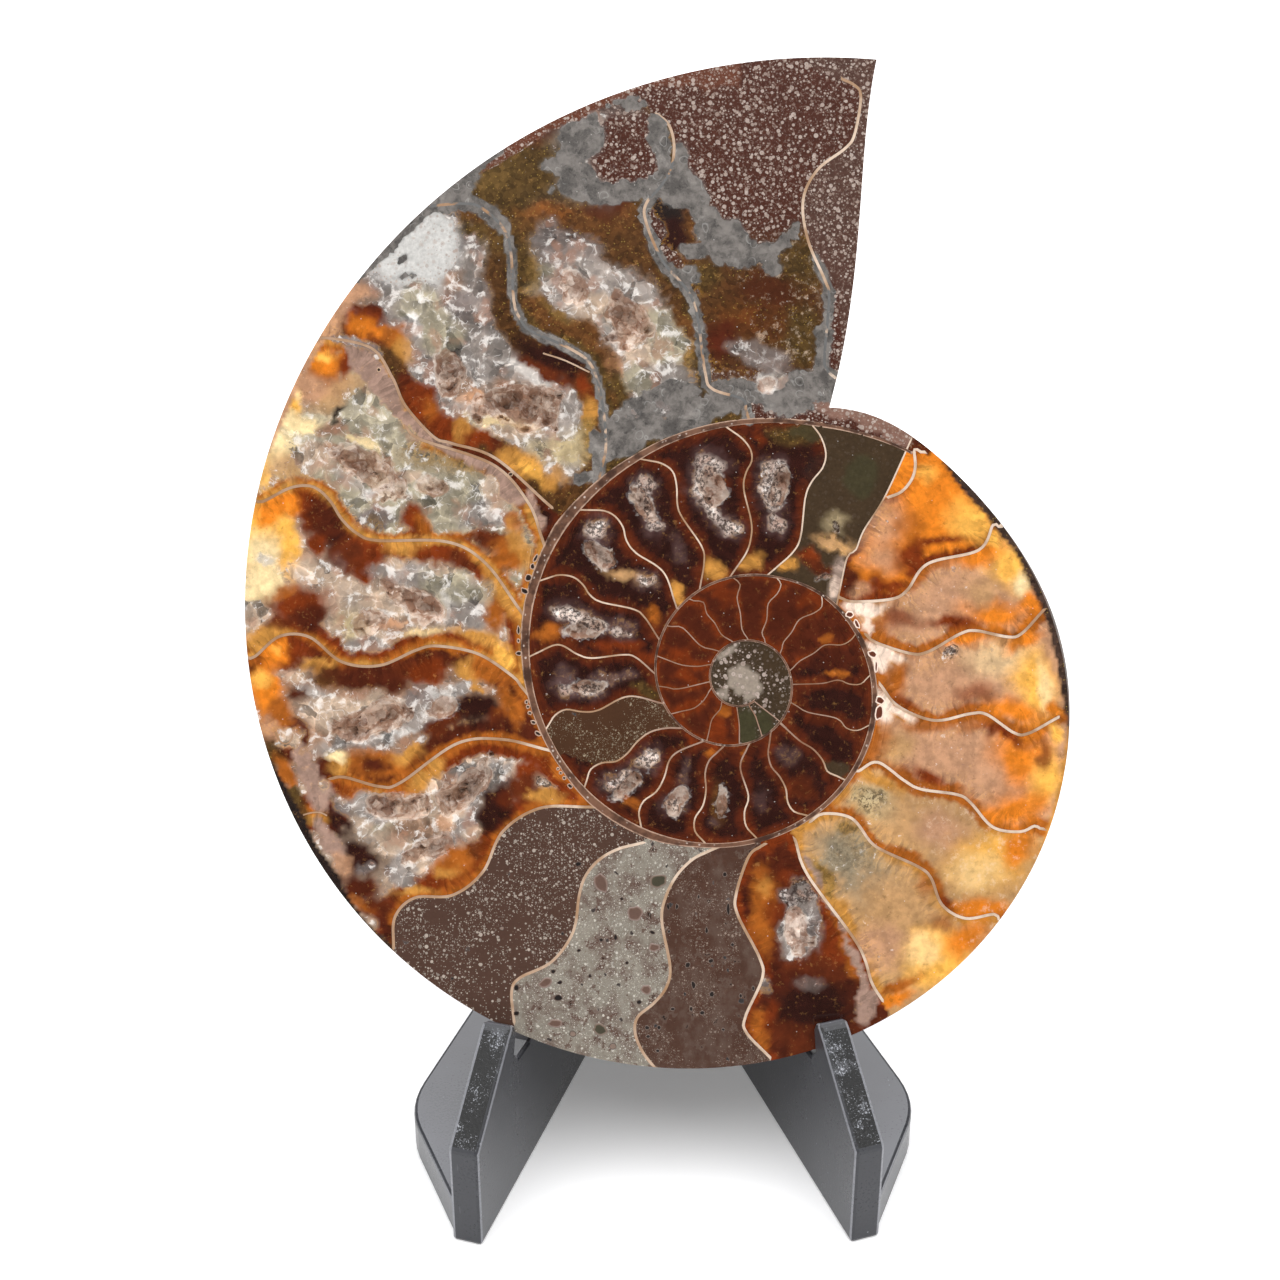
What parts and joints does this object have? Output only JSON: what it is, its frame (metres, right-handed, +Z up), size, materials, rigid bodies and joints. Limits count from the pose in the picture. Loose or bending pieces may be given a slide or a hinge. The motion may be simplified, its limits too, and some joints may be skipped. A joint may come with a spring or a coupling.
{
  "type": "ammonite fossil half on a stand",
  "caption": "Sawn and polished half of a coiled ammonite, chambers filled with calcite and matrix, leaning back in a two-piece plastic display stand.",
  "frame": {"origin": "on the surface the stand rests on, under the middle of the whole object's box", "axes": "+Z up, -Y towards the viewer of the polished face, +X to that viewer's right"},
  "size_m": [0.1034, 0.0712, 0.1319],
  "materials": {
    "fossil_stone": "sawn face polished to a gloss, natural shell behind it satin",
    "stand_plastic": "moulded black plastic, semi-gloss"
  },
  "bodies": {
    "root": {"ammonite_half": "fossil_stone", "stand_left": "stand_plastic", "stand_right": "stand_plastic"}
  },
  "joints": []
}
